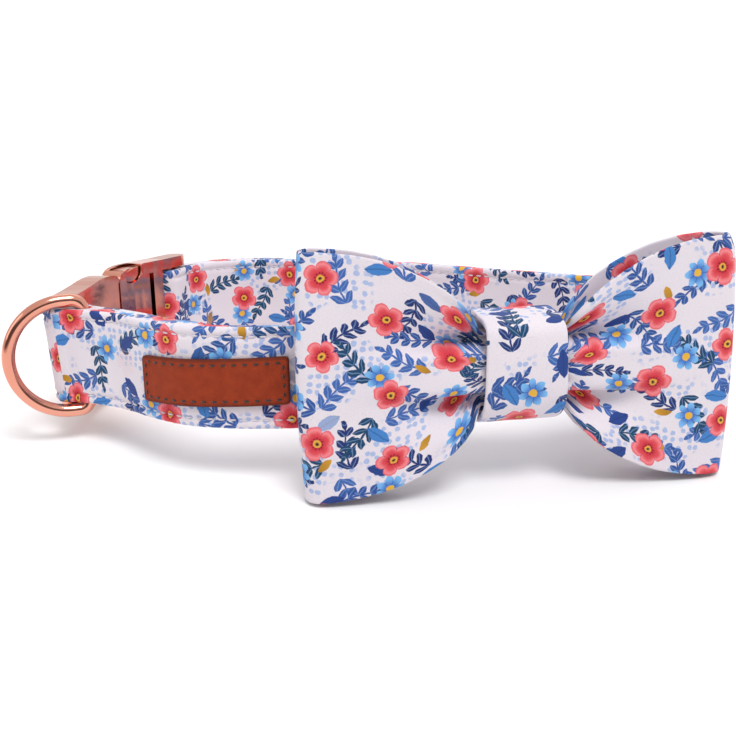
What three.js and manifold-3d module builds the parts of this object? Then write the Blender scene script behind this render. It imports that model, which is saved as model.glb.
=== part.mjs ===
// Pet collar of doubled printed cloth with a bow tie on its front, a leather label,
// a D-ring and a curved side-release buckle. Millimetres, +Z up, front toward -Y.
import * as THREE from 'three';
import Module from 'manifold-3d';

// ---------------------------------------------------------------- driving sizes
const STRAP_W = 25;            // strap width, along its own height
const STRAP_EDGE = 0.6;        // rounding of the strap's long edges
const STRAP_STEP = 5.2;        // spacing of the strap's sections
const NEAR_LOOP_R = 5.4;       // cloth loop round the male part's bar
const NEAR_EYE_R = 2.4;
const FAR_LOOP_R = 5.0;        // cloth loop round the female part's bar
const FAR_EYE_R = 2.6;
const D_EYE_R = 2.1;           // channel in the cloth for the D-ring's bar

const D_WIRE_R = 1.7;
const D_IN_H = 26;             // clear height inside the D-ring
const D_REACH = 19.5;           // bar centre to the middle of the arc's wire
const D_CORNER_R = 3.0;
const D_DIR_DEG = 200;         // plan direction of the D-ring from its bar
const D_BAR = [-73.8, -23.5];

const LABEL_H = 11.6, LABEL_T = 1.3, LABEL_MID_Z = 11.5, LABEL_GAP = 0.3;
const LABEL_X0 = -54.4, LABEL_X1 = -18.4, LABEL_RISE0 = -0.8, LABEL_RISE1 = 0.9;   // and its lean along the strap

const ARC_R = 132;             // plan radius of the buckle's outer face
const ARC_X = -82.9, ARC_Y = -25.8;   // where that face starts
const BK_Z0 = -4.5, BK_Z1 = 29.5, BK_T = 6.2, BK_WALL = 1.3, RAIL_T = 3.7;
const BAR_R = 1.6, BAR_N = 3.1;
const MALE_BAR_S = 5.2, MALE_S0 = 3.4, MALE_PLATE_S0 = 11.4, MALE_S1 = 37.6;
const FEM_S0 = 38.2, FEM_WALL_S1 = 54.8, FEM_LIP_S0 = 57.0, FEM_LIP_S1 = 61.8, FEM_BAR_S = 68.2, FEM_S1 = 75;
const WIN_S = 45.4, WIN_HALF = 5, WIN_MID_Z = 28.9, WIN_DEEP = 4.5;
// upper contour of each half, along and up; the lower contour mirrors it
const MALE_TOP = [[-3, 27.5], [8, 27.5], [14, 27.6], [20, 27.95], [24, 28.4], [28, 28.65], [32, 28.6], [35, 28.2], [36.6, 27.7], [37.4, 27.0], [37.9, 26.0]];
const FEM_TOP = [[37.9, 26.2], [38.3, 27.2], [39.2, 28.1], [40.6, 28.8], [42.6, 29.25], [45.5, 29.45], [50, 29.4], [56, 29.2], [63, 29.0], [69, 29.0], [78, 29.0]];

const BOW_X = 35.6, BOW_Y = -52.6, BOW_YAW_DEG = 8.8, BOW_Z = 14.6;
const BOW_END = 52.4, BOW_FOLD_R = 3.6, CLOTH_T = 1.4;
const KNOT_W = 19.4, KNOT_T = 1.6;

const TILT_X_DEG = -5.687, TILT_Y_DEG = -0.8833;   // lean of the collar as it rests
const SHIFT = [1.726, 2.314, 9.285];

// plan of the single cloth layer's middle line, from the male bar round the front,
// the right end and the back to the female bar
const PLAN = [
  { x: -79.7, y: -20.67 }, { x: -77.0, y: -21.6 }, { x: -73.8, y: -23.5 }, { x: -66.8, y: -28.4 },
  { x: -60.4, y: -33.6 }, { x: -53.0, y: -40.4 }, { x: -43.3, y: -47.2 }, { x: -30.2, y: -50.6 },
  { x: -17.5, y: -51.1 }, { x: -4.0, y: -50.8 }, { x: 10.0, y: -49.6 }, { x: 22.0, y: -47.8 },
  { x: 36.8, y: -45.0 }, { x: 54.0, y: -39.8 }, { x: 69.5, y: -34.4 }, { x: 82.0, y: -27.6 },
  { x: 88.6, y: -18.6 }, { x: 86.6, y: -7.6 }, { x: 76.4, y: 1.6 }, { x: 62.8, y: 9.9 },
  { x: 53.1, y: 15.6 }, { x: 34.9, y: 27.3 }, { x: 12.2, y: 41.6 }, { x: -6.0, y: 48.2 },
  { x: -23.0, y: 52.4 }, { x: -37.0, y: 54.4 }, { x: -47.6, y: 53.0 }, { x: -55.2, y: 48.2 }, { x: -62.97, y: 37.87 },
];
// thickness either side of that line: d is the distance from the named end
const NEAR_THICK = [
  { d: 0, out: NEAR_LOOP_R, inn: NEAR_LOOP_R }, { d: 3.4, out: 4.7, inn: 4.8 }, { d: 6.6, out: 4.0, inn: 4.0 },
  { d: 11, out: 2.6, inn: 4.0 }, { d: 19, out: 1.6, inn: 4.6 }, { d: 46, out: 1.6, inn: 4.6 }, { d: 49.5, out: 1.6, inn: 1.7 },
];
const FAR_THICK = [
  { d: 0, out: FAR_LOOP_R, inn: FAR_LOOP_R }, { d: 4, out: 4.6, inn: 3.4 }, { d: 9, out: 4.6, inn: 1.7 },
  { d: 40, out: 4.6, inn: 1.6 }, { d: 43.5, out: 1.7, inn: 1.6 },
];
// bow: half height, front panel depth, back panel depth and pleat depth against the distance from its middle
const BOW = [
  { a: 0, h: 8.6, front: -4.2, back: 2.6, pleat: 3.5 }, { a: 10.2, h: 8.6, front: -4.2, back: 2.6, pleat: 3.6 },
  { a: 11.6, h: 11.0, front: -4.6, back: 2.7, pleat: 4.2 }, { a: 13.2, h: 13.8, front: -4.9, back: 2.8, pleat: 4.5 },
  { a: 15.4, h: 16.4, front: -5.2, back: 2.9, pleat: 4.7 }, { a: 18, h: 18.6, front: -5.3, back: 3.0, pleat: 4.4 },
  { a: 21, h: 20.8, front: -5.3, back: 3.1, pleat: 3.6 }, { a: 25, h: 23.1, front: -5.1, back: 3.2, pleat: 2.4 },
  { a: 30, h: 25.5, front: -4.9, back: 3.3, pleat: 1.1 }, { a: 35.5, h: 27.4, front: -4.6, back: 3.3, pleat: 0.3 },
  { a: 42, h: 28.7, front: -4.3, back: 3.3, pleat: 0 }, { a: 48.8, h: 29.3, front: -4.0, back: 3.2, pleat: 0 },
  { a: 53, h: 29.4, front: -4.0, back: 3.2, pleat: 0 },
];
const PLEAT_AT = 6.3, PLEAT_W_IN = 1.7, PLEAT_W_OUT = 4.2;
const PINCH = 2.2;
// knot band: middle line of its wall round the bow and the strap, b is depth behind the bow's plane
const KNOT = [
  { b: -6.1, z: 14.6 }, { b: -5.9, z: 20.0 }, { b: -5.0, z: 24.2 }, { b: -1.8, z: 25.5 }, { b: 3.2, z: 26.15 },
  { b: 8.4, z: 26.25 }, { b: 11.5, z: 25.0 }, { b: 12.1, z: 19.6 }, { b: 12.1, z: 12.5 }, { b: 12.2, z: 6.4 },
  { b: 11.8, z: 2.5 }, { b: 9.2, z: 1.05 }, { b: 3.6, z: 1.0 }, { b: -1.0, z: 2.7 }, { b: -4.5, z: 5.7 }, { b: -5.8, z: 9.6 },
];

const wasm = await Module();
wasm.setup();
const RAD = Math.PI / 180;
const bowYaw = BOW_YAW_DEG * RAD;

// ---------------------------------------------------------------- helpers
function table(rows, key, at, x) {
  if (x <= rows[0][at]) return rows[0][key];
  for (let i = 1; i < rows.length; i++) {
    if (x <= rows[i][at]) {
      const p = rows[i - 1], q = rows[i];
      const f = (x - p[at]) / (q[at] - p[at]);
      const s = f * f * (3 - 2 * f) * 0.5 + f * 0.5;
      return p[key] + (q[key] - p[key]) * s;
    }
  }
  return rows[rows.length - 1][key];
}

function gridGeometry(points, nu, nv) {
  // points[i][j], both directions closed: a ring of rings
  const pos = [], idx = [];
  for (let i = 0; i < nu; i++) for (let j = 0; j < nv; j++) pos.push(points[i][j].x, points[i][j].y, points[i][j].z);
  for (let i = 0; i < nu; i++) {
    for (let j = 0; j < nv; j++) {
      const i2 = (i + 1) % nu, j2 = (j + 1) % nv;
      const a = i * nv + j, b = i2 * nv + j, c = i2 * nv + j2, d = i * nv + j2;
      idx.push(a, b, c, a, c, d);
    }
  }
  const g = new THREE.BufferGeometry();
  g.setAttribute('position', new THREE.Float32BufferAttribute(pos, 3));
  g.setIndex(idx);
  return outward(g);
}

function volume(g) {
  const p = g.attributes.position, ix = g.index;
  let v = 0;
  for (let i = 0; i < ix.count; i += 3) {
    const a = new THREE.Vector3().fromBufferAttribute(p, ix.getX(i));
    const b = new THREE.Vector3().fromBufferAttribute(p, ix.getX(i + 1));
    const c = new THREE.Vector3().fromBufferAttribute(p, ix.getX(i + 2));
    v += a.dot(b.cross(c));
  }
  return v / 6;
}

function outward(g) {
  if (volume(g) < 0) {
    const a = g.index.array;
    for (let i = 0; i < a.length; i += 3) { const t = a[i]; a[i] = a[i + 1]; a[i + 1] = t; }
  }
  g.computeVertexNormals();
  return g;
}

function weld(g) {
  const p = g.attributes.position, seen = new Map(), pos = [], idx = [];
  const n = g.index ? g.index.count : p.count;
  for (let i = 0; i < n; i++) {
    const k = g.index ? g.index.getX(i) : i;
    const key = [p.getX(k), p.getY(k), p.getZ(k)].map((v) => Math.round(v * 10000)).join();
    if (!seen.has(key)) { seen.set(key, pos.length / 3); pos.push(p.getX(k), p.getY(k), p.getZ(k)); }
    idx.push(seen.get(key));
  }
  const keep = [];
  for (let i = 0; i < idx.length; i += 3) {
    if (idx[i] !== idx[i + 1] && idx[i + 1] !== idx[i + 2] && idx[i] !== idx[i + 2]) keep.push(idx[i], idx[i + 1], idx[i + 2]);
  }
  const out = new THREE.BufferGeometry();
  out.setAttribute('position', new THREE.Float32BufferAttribute(pos, 3));
  out.setIndex(keep);
  return outward(out);
}

function toSolid(g) {
  const w = weld(g);
  return new wasm.Manifold(new wasm.Mesh({ numProp: 3, vertProperties: new Float32Array(w.attributes.position.array), triVerts: new Uint32Array(w.index.array) }));
}

function fromSolid(s) {
  const m = s.getMesh(), pos = [];
  for (let i = 0; i < m.vertProperties.length; i += m.numProp) pos.push(m.vertProperties[i], m.vertProperties[i + 1], m.vertProperties[i + 2]);
  const g = new THREE.BufferGeometry();
  g.setAttribute('position', new THREE.Float32BufferAttribute(pos, 3));
  g.setIndex(Array.from(m.triVerts));
  return weld(g);
}

function prism(outline, holes, z0, z1, edge) {
  const shape = new THREE.Shape(outline);
  for (const h of holes) shape.holes.push(new THREE.Path(h));
  const opt = edge > 0
    ? { depth: z1 - z0 - 2 * edge, bevelEnabled: true, bevelThickness: edge, bevelSize: edge, bevelOffset: -edge, bevelSegments: 2, steps: 1 }
    : { depth: z1 - z0, bevelEnabled: false, steps: 1 };
  const g = new THREE.ExtrudeGeometry(shape, opt);
  g.translate(0, 0, z0 + edge);
  return g;
}

function circle(x, y, r, n) {
  const pts = [];
  for (let i = 0; i < n; i++) pts.push(new THREE.Vector2(x + r * Math.cos(2 * Math.PI * i / n), y + r * Math.sin(2 * Math.PI * i / n)));
  return pts;
}

// ---------------------------------------------------------------- strap
const planCurve = new THREE.CatmullRomCurve3(PLAN.map((p) => new THREE.Vector3(p.x, p.y, 0)), false, 'centripetal');
planCurve.arcLengthDivisions = 2000;
const planLength = planCurve.getLength();

function planAt(d) {
  const u = Math.min(Math.max(d / planLength, 0), 1);
  const p = planCurve.getPointAt(u), t = planCurve.getTangentAt(u);
  return { p, t, n: new THREE.Vector3(t.y, -t.x, 0) };
}

function halfThick(d, key) {
  return d < planLength / 2 ? table(NEAR_THICK, key, 'd', d) : table(FAR_THICK, key, 'd', planLength - d);
}

function capArc(at, r, from, sweep, n) {
  const pts = [];
  for (let i = 1; i < n; i++) {
    const a = from + sweep * i / n;
    pts.push(new THREE.Vector2(at.x + r * Math.cos(a), at.y + r * Math.sin(a)));
  }
  return pts;
}

function strapGeometry() {
  const stations = [];
  for (let d = 0; d < 24; d += 2.4) stations.push(d);
  const inner = planLength - 24;
  const count = Math.round((inner - 24) / STRAP_STEP);
  for (let i = 0; i <= count; i++) stations.push(24 + (inner - 24) * i / count);
  for (let d = inner + 2.4; d < planLength + 0.01; d += 2.4) stations.push(Math.min(d, planLength));
  const outer = [], back = [];
  for (const d of stations) {
    const s = planAt(d);
    const o = s.p.clone().addScaledVector(s.n, halfThick(d, 'out'));
    const i = s.p.clone().addScaledVector(s.n, -halfThick(d, 'inn'));
    outer.push(new THREE.Vector2(o.x, o.y));
    back.push(new THREE.Vector2(i.x, i.y));
  }
  const s0 = planAt(0), s1 = planAt(planLength);
  const a1 = Math.atan2(s1.n.y, s1.n.x), a0 = Math.atan2(-s0.n.y, -s0.n.x);
  const outline = [...outer, ...capArc(s1.p, FAR_LOOP_R, a1, Math.PI, 8), ...back.reverse(), ...capArc(s0.p, NEAR_LOOP_R, a0, Math.PI, 8)];
  const holes = [circle(s0.p.x, s0.p.y, NEAR_EYE_R, 14), circle(s1.p.x, s1.p.y, FAR_EYE_R, 14), circle(D_BAR[0], D_BAR[1], D_EYE_R, 12)];
  // the knot's band draws the lower edge up a little
  const low = new THREE.Shape([[-18, -2], [18, -2], [18, 0], [16.5, 0.25], [11, PINCH], [-11, PINCH], [-16.5, 0.25], [-18, 0]].map(([a, z]) => new THREE.Vector2(a, z)));
  const cut = new THREE.ExtrudeGeometry(low, { depth: 13, bevelEnabled: false, steps: 1 });
  const p = cut.attributes.position;
  for (let i = 0; i < p.count; i++) {
    const q = bowPlace(p.getX(i), p.getZ(i), p.getY(i));
    p.setXYZ(i, q.x, q.y, q.z);
  }
  return fromSolid(toSolid(prism(outline, holes, 0, STRAP_W, STRAP_EDGE)).subtract(toSolid(outward(weld(cut)))));
}

// ---------------------------------------------------------------- label, bent round the strap's outer face
function labelGeometry() {
  const face = [], skin = [];
  const steps = 12;
  let d0 = 0, d1 = 0;
  for (let d = 0; d < planLength / 2; d += 0.1) {
    const s = planAt(d);
    const x = s.p.x + s.n.x * halfThick(d, 'out');
    if (x < LABEL_X0) d0 = d;
    if (x < LABEL_X1) d1 = d;
  }
  for (let i = 0; i <= steps; i++) {
    const d = d0 + (d1 - d0) * i / steps, s = planAt(d), o = halfThick(d, 'out') + LABEL_GAP;
    const a = s.p.clone().addScaledVector(s.n, o), b = s.p.clone().addScaledVector(s.n, o + LABEL_T);
    skin.push(new THREE.Vector2(a.x, a.y));
    face.push(new THREE.Vector2(b.x, b.y));
  }
  const g = weld(prism([...face, ...skin.reverse()], [], LABEL_MID_Z - LABEL_H / 2, LABEL_MID_Z + LABEL_H / 2, 0));
  const p = g.attributes.position;
  for (let i = 0; i < p.count; i++) {
    const f = (p.getX(i) - LABEL_X0) / (LABEL_X1 - LABEL_X0);
    p.setZ(i, p.getZ(i) + LABEL_RISE0 + (LABEL_RISE1 - LABEL_RISE0) * f);
  }
  return outward(g);
}

// ---------------------------------------------------------------- D-ring: one closed wire loop
function dRingGeometry() {
  const mid = STRAP_W / 2, half = D_IN_H / 2 + D_WIRE_R, path = [];
  const leg = D_REACH - half;
  const add = (l, h) => path.push([l, h]);
  for (let i = 0; i <= 4; i++) { const a = Math.PI + (Math.PI / 2) * i / 4; add(D_CORNER_R + D_CORNER_R * Math.cos(a), -half + D_CORNER_R + D_CORNER_R * Math.sin(a)); }
  for (let i = 0; i <= 18; i++) { const a = -Math.PI / 2 + Math.PI * i / 18; add(leg + half * Math.cos(a), half * Math.sin(a)); }
  for (let i = 0; i <= 4; i++) { const a = Math.PI / 2 + (Math.PI / 2) * i / 4; add(D_CORNER_R + D_CORNER_R * Math.cos(a), half - D_CORNER_R + D_CORNER_R * Math.sin(a)); }
  for (let i = 1; i < 5; i++) add(0, half - D_CORNER_R - (2 * (half - D_CORNER_R)) * i / 5);
  const dir = new THREE.Vector3(Math.cos(D_DIR_DEG * RAD), Math.sin(D_DIR_DEG * RAD), 0);
  const side = new THREE.Vector3(-dir.y, dir.x, 0), n = path.length, m = 12, rings = [];
  for (let i = 0; i < n; i++) {
    const p = path[i], q = path[(i + 1) % n], o = path[(i + n - 1) % n];
    let tx = q[0] - o[0], tz = q[1] - o[1];
    const l = Math.hypot(tx, tz); tx /= l; tz /= l;
    const ring = [];
    for (let j = 0; j < m; j++) {
      const a = 2 * Math.PI * j / m, r = D_WIRE_R * Math.cos(a), w = D_WIRE_R * Math.sin(a);
      const pt = new THREE.Vector3(D_BAR[0], D_BAR[1], mid).addScaledVector(dir, p[0] + tz * r).addScaledVector(side, w);
      pt.z += p[1] - tx * r;
      ring.push(pt);
    }
    rings.push(ring);
  }
  return gridGeometry(rings, n, m);
}

// ---------------------------------------------------------------- buckle, built on a plan arc
function arcPoint(s, n) {
  const a = s / ARC_R;
  return new THREE.Vector2(ARC_X + ARC_R - (ARC_R - n) * Math.cos(a), ARC_Y + (ARC_R - n) * Math.sin(a));
}

function slab(s0, s1, n0, n1, z0, z1) {
  const k = Math.max(1, Math.ceil((s1 - s0) / 5)), a = [], b = [];
  for (let i = 0; i <= k; i++) { const s = s0 + (s1 - s0) * i / k; a.push(arcPoint(s, n0)); b.push(arcPoint(s, n1)); }
  return toSolid(prism([...a, ...b.reverse()], [], z0, z1, 0));
}

function barSolid(s, n, r, z0, z1) {
  const c = arcPoint(s, n);
  return toSolid(prism(circle(c.x, c.y, r, 16), [], z0, z1, 0));
}

// a solid whose outline is drawn on the buckle's face, along and up, and which goes through it
function facePrism(points, n0, n1) {
  const contour = points.map(([s, z]) => new THREE.Vector2(s, z));
  if (THREE.ShapeUtils.isClockWise(contour)) contour.reverse();
  const tris = THREE.ShapeUtils.triangulateShape(contour, []), m = contour.length, pos = [], idx = [];
  for (const n of [n0, n1]) for (const c of contour) { const p = arcPoint(c.x, n); pos.push(p.x, p.y, c.y); }
  for (const [a, b, c] of tris) idx.push(a, b, c, m + a, m + c, m + b);
  for (let i = 0; i < m; i++) { const j = (i + 1) % m; idx.push(i, m + j, j, i, m + i, m + j); }
  const g = new THREE.BufferGeometry();
  g.setAttribute('position', new THREE.Float32BufferAttribute(pos, 3));
  g.setIndex(idx);
  return toSolid(outward(g));
}

function mirrored(top) {
  const mid2 = BK_Z0 + BK_Z1;
  return [...top, ...top.map(([s, z]) => [s, mid2 - z]).reverse()];
}

// the button's opening, less a margin all round; tall draws its lower side deeper
function oval(margin, limit, up, tall = 0) {
  const pts = [], n = 28, mid2 = BK_Z0 + BK_Z1;
  for (let i = 0; i < n; i++) {
    const a = 2 * Math.PI * i / n, c = Math.cos(a), s = Math.sin(a);
    const x = WIN_S + (WIN_HALF - margin) * Math.sign(c) * Math.abs(c) ** 0.8;
    const z = Math.min(WIN_MID_Z + (WIN_DEEP - margin) * Math.sign(s) * Math.abs(s) ** 0.8 - (s < 0 ? tall * -s : 0), limit);
    pts.push([x, up ? z : mid2 - z]);
  }
  const kept = pts.filter((p, i) => { const q = pts[(i + n - 1) % n]; return Math.hypot(p[0] - q[0], p[1] - q[1]) > 0.05; });
  return kept;
}

// a rail with a rounded free end
function rail(s0, s1, z0, z1, round0, round1) {
  let body = slab(s0 + (round0 ? BK_T / 2 : 0), s1 - (round1 ? BK_T / 2 : 0), 0, BK_T, z0, z1);
  if (round0) body = body.add(barSolid(s0 + BK_T / 2, BK_T / 2, BK_T / 2 - 0.02, z0, z1));
  if (round1) body = body.add(barSolid(s1 - BK_T / 2, BK_T / 2, BK_T / 2 - 0.02, z0, z1));
  return body;
}

function femaleGeometry() {
  const lowTop = BK_Z0 + RAIL_T, highBottom = BK_Z1 - RAIL_T, eps = 0.2;
  let s = rail(FEM_S0 - 1, FEM_S1, BK_Z0, lowTop, false, true)
    .add(rail(FEM_S0 - 1, FEM_S1, highBottom, BK_Z1, false, true))
    .add(slab(FEM_S0 - 1, FEM_LIP_S0 + 1, 0, BK_WALL, lowTop - eps, highBottom + eps))
    .add(slab(FEM_S0 - 1, FEM_WALL_S1, BK_T - BK_WALL, BK_T, lowTop - eps, highBottom + eps))
    .add(slab(FEM_LIP_S0, FEM_LIP_S1, BK_T - 2.4, BK_T, lowTop - eps, highBottom + eps))
    .add(barSolid(FEM_BAR_S, BAR_N, BAR_R, lowTop - eps, highBottom + eps));
  for (const up of [true, false]) s = s.subtract(facePrism(oval(0, 90, up), BK_WALL, BK_T + 2));
  return fromSolid(s.intersect(facePrism(mirrored(FEM_TOP), -3, BK_T + 3)));
}

function maleGeometry() {
  const lowTop = BK_Z0 + RAIL_T, highBottom = BK_Z1 - RAIL_T, eps = 0.2;
  const n0 = 2.1, n1 = 4.1, c0 = 1.8, c1 = BK_T - 1.8, mid = (BK_Z0 + BK_Z1) / 2;
  let s = rail(MALE_S0, MALE_S1, BK_Z0, lowTop, true, false)
    .add(rail(MALE_S0, MALE_S1, highBottom, BK_Z1, true, false))
    .add(slab(MALE_PLATE_S0, MALE_S1, 0.5, BK_T - 0.3, lowTop - eps, highBottom + eps))
    .add(barSolid(MALE_BAR_S, BAR_N, BAR_R, lowTop - eps, highBottom + eps))
    .intersect(facePrism(mirrored(MALE_TOP), -3, BK_T + 3))
    .subtract(slab(MALE_PLATE_S0 + 1.6, MALE_S1 + 1, c0, c1, lowTop + 1, highBottom - 1))
    .add(slab(MALE_PLATE_S0 + 1, 48, n0, n1, 10.8, 14.2));
  for (const up of [true, false]) {
    const z = (a, b) => (up ? [mid + a, mid + b] : [mid - b, mid - a]);
    const arm = z(9.0, 11.9), foot = z(8.8, 14.2);
    s = s.add(slab(MALE_PLATE_S0 + 1, WIN_S, n0, n1, arm[0], arm[1]))
      .add(slab(WIN_S - WIN_HALF + 0.9, WIN_S + WIN_HALF - 0.9, n0, n1, foot[0], foot[1]).intersect(facePrism(oval(0.45, BK_Z1 - 0.75, up, 8), -1, 9)))
      .add(facePrism(oval(0.45, BK_Z1 - 0.75, up), n0, BK_T - 0.5));
  }
  return fromSolid(s);
}

// ---------------------------------------------------------------- bow: one looped band of cloth
function bowPlace(a, b, z) {
  return new THREE.Vector3(BOW_X + a * Math.cos(bowYaw) - b * Math.sin(bowYaw), BOW_Y + a * Math.sin(bowYaw) + b * Math.cos(bowYaw), z);
}

function bowSurface(sign, k, back, psi, t) {
  // k is the distance from the middle, psi runs round the end fold (0 flat, 90 at the tip)
  const row = (key) => table(BOW, key, 'a', k);
  const h = row('h'), zeta = t * h;
  const end = BOW_END - 1.3 * t * t - (sign > 0 && t > 0.8 ? 1.6 * (t - 0.8) * (t - 0.8) / 0.04 : 0);
  const reach = k * end / BOW_END;
  let b = back ? row('back') : row('front');
  const from = Math.abs(zeta) - PLEAT_AT;
  const dip = Math.exp(-((from / (from < 0 ? PLEAT_W_IN : PLEAT_W_OUT)) ** 2)) * row('pleat');
  if (!back) b += dip; else b -= 0.12 * dip;
  if (psi === null) return bowPlace(sign * reach, b, BOW_Z + zeta);
  const f = table(BOW, 'front', 'a', 49), g = table(BOW, 'back', 'a', 49);
  const mid = (f + g) / 2, w = (g - f) / 2, flat = (BOW_END - BOW_FOLD_R) * end / BOW_END;
  return bowPlace(sign * (flat + (end - flat) * Math.sin(psi)), mid + (back ? 1 : -1) * w * Math.cos(psi), BOW_Z + t * table(BOW, 'h', 'a', 50));
}

function bowGeometry() {
  const flats = [0, 5.2, 10.2, 11.4, 12.8, 14.8, 17.4, 20.6, 24.4, 29, 34.5, 41];
  const folds = [0, 24, 46, 68].map((v) => v * RAD);
  const loop = [];
  // front left to right, then back right to left
  const half = (sign, back, outwardOrder) => {
    const list = flats.map((k) => ({ sign, k, back, psi: null })).concat(folds.map((psi) => ({ sign, k: 49, back, psi })));
    return outwardOrder ? list : list.reverse();
  };
  loop.push({ sign: -1, k: 49, back: false, psi: Math.PI / 2 });
  loop.push(...half(-1, false, false), ...half(1, false, true).slice(1));
  loop.push({ sign: 1, k: 49, back: false, psi: Math.PI / 2 });
  loop.push(...half(1, true, false), ...half(-1, true, true).slice(1));
  const nt = 18, mid = loop.map((q) => Array.from({ length: nt + 1 }, (_, j) => bowSurface(q.sign, q.k, q.back, q.psi, -1 + 2 * j / nt)));
  const n = loop.length, rings = [];
  for (let i = 0; i < n; i++) {
    const up = [], down = [];
    for (let j = 0; j <= nt; j++) {
      const du = mid[(i + 1) % n][j].clone().sub(mid[(i + n - 1) % n][j]);
      const dv = mid[i][Math.min(j + 1, nt)].clone().sub(mid[i][Math.max(j - 1, 0)]);
      const nn = du.cross(dv).normalize();
      up.push(mid[i][j].clone().addScaledVector(nn, CLOTH_T / 2));
      down.push(mid[i][j].clone().addScaledVector(nn, -CLOTH_T / 2));
    }
    rings.push([...up, ...down.reverse()]);
  }
  return gridGeometry(rings, n, 2 * (nt + 1));
}

// ---------------------------------------------------------------- knot band round the bow's middle and the strap
function knotGeometry() {
  const curve = new THREE.CatmullRomCurve3(KNOT.map((p) => new THREE.Vector3(0, p.b, p.z)), true, 'centripetal');
  const n = 44, pts = curve.getSpacedPoints(n).slice(0, n), cuts = [-1, -0.75, -0.4, 0, 0.4, 0.75, 1], rings = [];
  for (let i = 0; i < n; i++) {
    const t = pts[(i + 1) % n].clone().sub(pts[(i + n - 1) % n]).normalize();
    const nn = new THREE.Vector3(0, t.z, -t.y);
    const up = [], down = [];
    for (const c of cuts) {
      const edge = Math.abs(c) === 1 ? KNOT_T * 0.28 : KNOT_T / 2;
      const bulge = pts[i].y < -3 ? 0.35 * (1 - c * c) : 0;
      const p = pts[i].clone();
      const o = p.clone().addScaledVector(nn, -edge - bulge), q = p.clone().addScaledVector(nn, edge);
      up.push(bowPlace(c * KNOT_W / 2, o.y, o.z));
      down.push(bowPlace(c * KNOT_W / 2, q.y, q.z));
    }
    rings.push([...up, ...down.reverse()]);
  }
  return gridGeometry(rings, n, 2 * cuts.length);
}

// ---------------------------------------------------------------- assembly
const cloth = new THREE.MeshStandardMaterial({ name: 'printed_cloth', color: 0xe6dfe4, roughness: 0.9 });
const clothKnot = new THREE.MeshStandardMaterial({ name: 'printed_cloth_knot', color: 0xdfd8e2, roughness: 0.9 });
const metal = new THREE.MeshStandardMaterial({ name: 'rose_gold', color: 0xd99a82, roughness: 0.2, metalness: 1 });
const leather = new THREE.MeshStandardMaterial({ name: 'tan_leather', color: 0x9b4a22, roughness: 0.6 });

const group = new THREE.Group();
function place(name, geometry, material) {
  const g = geometry.clone();
  g.rotateY(TILT_Y_DEG * RAD);
  g.rotateX(TILT_X_DEG * RAD);
  g.translate(SHIFT[0], SHIFT[1], SHIFT[2]);
  const mesh = new THREE.Mesh(g, material);
  mesh.name = name;
  group.add(mesh);
}
place('strap', strapGeometry(), cloth);
place('leather_label', labelGeometry(), leather);
place('d_ring', dRingGeometry(), metal);
place('buckle_male', maleGeometry(), metal);
place('buckle_female', femaleGeometry(), metal);
place('bow', bowGeometry(), cloth);
place('knot_band', knotGeometry(), clothKnot);

export default group;
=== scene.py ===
import math

import bmesh
import bpy
import numpy as np
from mathutils import Matrix, Vector
from mathutils.geometry import tessellate_polygon

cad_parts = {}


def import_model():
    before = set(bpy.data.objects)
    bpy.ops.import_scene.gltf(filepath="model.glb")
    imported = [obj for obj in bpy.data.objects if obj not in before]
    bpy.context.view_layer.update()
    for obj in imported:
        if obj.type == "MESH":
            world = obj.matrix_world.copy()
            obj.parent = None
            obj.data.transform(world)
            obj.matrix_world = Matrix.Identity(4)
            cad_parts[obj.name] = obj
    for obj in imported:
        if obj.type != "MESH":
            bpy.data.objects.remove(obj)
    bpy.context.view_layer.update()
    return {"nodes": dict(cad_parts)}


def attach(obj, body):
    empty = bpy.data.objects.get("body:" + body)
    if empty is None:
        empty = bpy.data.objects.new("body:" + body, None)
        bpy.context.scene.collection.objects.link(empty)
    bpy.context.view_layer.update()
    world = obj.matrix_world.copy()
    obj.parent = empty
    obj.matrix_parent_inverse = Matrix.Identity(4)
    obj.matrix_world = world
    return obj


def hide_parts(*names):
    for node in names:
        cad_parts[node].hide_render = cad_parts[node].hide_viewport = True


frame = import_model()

# ------------------------------------------------------------------ placing
# The collar is drawn level, in mm, and leaned the way it rests.
TX, TY = math.radians(-5.687), math.radians(-0.8833)
SHIFT = np.array([1.726, 2.314, 9.285])
RY = np.array([[math.cos(TY), 0, math.sin(TY)], [0, 1, 0], [-math.sin(TY), 0, math.cos(TY)]])
RX = np.array([[1, 0, 0], [0, math.cos(TX), -math.sin(TX)], [0, math.sin(TX), math.cos(TX)]])
ROT = RX @ RY


def world(p):
    return (np.asarray(p, float) @ ROT.T + SHIFT) / 1000.0


# ------------------------------------------------------------------ camera
def make_camera():
    pitch, roll = math.radians(14.59), math.radians(1.21)
    right, up = np.array([1.0, 0, 0]), np.array([0, math.sin(pitch), math.cos(pitch)])
    fwd = np.array([0, math.cos(pitch), -math.sin(pitch)])
    r = math.cos(roll) * right - math.sin(roll) * up
    u = math.sin(roll) * right + math.cos(roll) * up
    cols = [ROT @ r, ROT @ u, ROT @ -fwd]
    pos = world([0, -288, 76])
    cam = bpy.data.cameras.new("camera")
    cam.sensor_fit = "HORIZONTAL"
    cam.sensor_width = 36
    cam.lens = 1035 / 736 * 36
    cam.clip_start = 0.005
    o = bpy.data.objects.new("camera", cam)
    m = Matrix.Identity(4)
    for j in range(3):
        for i in range(3):
            m[i][j] = cols[j][i]
        m[j][3] = pos[j]
    o.matrix_world = m
    bpy.context.scene.collection.objects.link(o)
    bpy.context.scene.camera = o


make_camera()

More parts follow.
